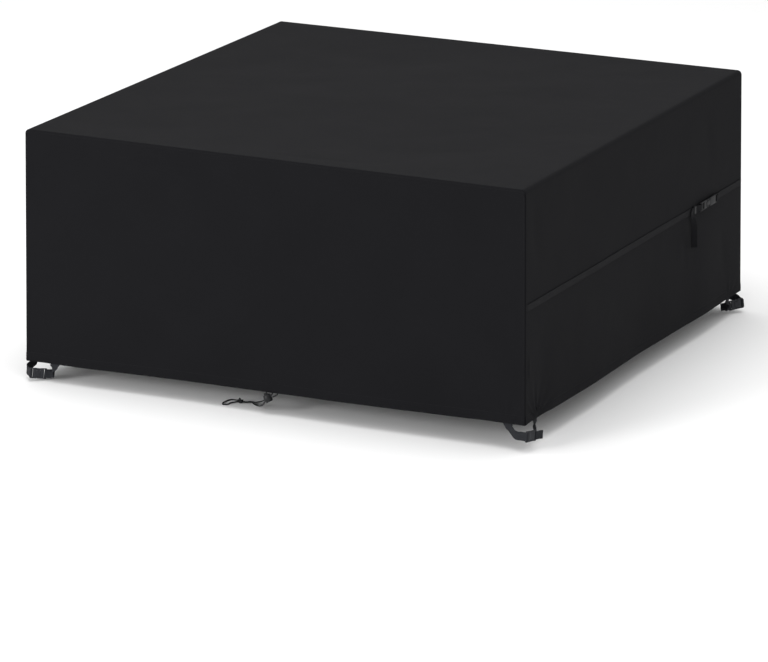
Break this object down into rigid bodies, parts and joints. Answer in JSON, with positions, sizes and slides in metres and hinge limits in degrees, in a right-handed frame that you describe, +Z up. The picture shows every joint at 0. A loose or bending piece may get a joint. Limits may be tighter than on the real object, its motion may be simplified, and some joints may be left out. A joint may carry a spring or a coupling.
{
  "type": "fitted patio furniture cover",
  "caption": "Box-shaped cloth cover for a square garden table, open below, with a buckled wall strap, leg straps with side-release buckles, and a locked drawcord at the hem.",
  "frame": {"origin": "the middle of the top panel's underside, where the furniture's top carries the cover", "axes": "+Z up; +X towards the wall with the buckled strap; -Y towards the wall with the drawcord"},
  "size_m": [1.6993, 1.679, 0.7802],
  "materials": {
    "cover_cloth": "matt black coated woven polyester",
    "webbing": "dark grey-black woven polypropylene webbing",
    "buckle_plastic": "moulded black acetal, satin",
    "cord": "black braided polyester cord",
    "lock_plastic": "moulded black nylon, half gloss"
  },
  "bodies": {
    "cover": {"main_panel": "cover_cloth", "front_panel": "cover_cloth", "back_panel": "cover_cloth", "cinch_strap_far": "webbing", "cinch_strap_near": "webbing", "cinch_buckle_socket": "buckle_plastic", "cinch_buckle_prongs": "buckle_plastic", "cinch_keeper": "buckle_plastic", "leg_strap_fixed_front_left": "webbing", "leg_strap_loose_front_left": "webbing", "leg_buckle_socket_front_left": "buckle_plastic", "leg_buckle_prongs_front_left": "buckle_plastic", "leg_strap_fixed_front_right": "webbing", "leg_strap_loose_front_right": "webbing", "leg_buckle_socket_front_right": "buckle_plastic", "leg_buckle_prongs_front_right": "buckle_plastic", "leg_strap_fixed_back_right": "webbing", "leg_strap_loose_back_right": "webbing", "leg_buckle_socket_back_right": "buckle_plastic", "leg_buckle_prongs_back_right": "buckle_plastic", "leg_strap_fixed_back_left": "webbing", "leg_strap_loose_back_left": "webbing", "leg_buckle_socket_back_left": "buckle_plastic", "leg_buckle_prongs_back_left": "buckle_plastic", "cord_hem_left": "cord", "cord_lock_upper": "cord", "cord_end_loop": "cord", "cord_lock_lower": "cord", "cord_hem_right": "cord", "cord_lock_barrel": "lock_plastic", "cord_knot": "cord"},
    "lock_button": {"cord_lock_button": "lock_plastic"}
  },
  "joints": [
    {"name": "lock_button_press", "type": "slide", "parent": "cover", "child": "lock_button", "axis": [0.5, 0, -0.866], "range_m": [0, 0.004], "stiffness_N_per_m": 300, "springref_m": -0.003}
  ]
}
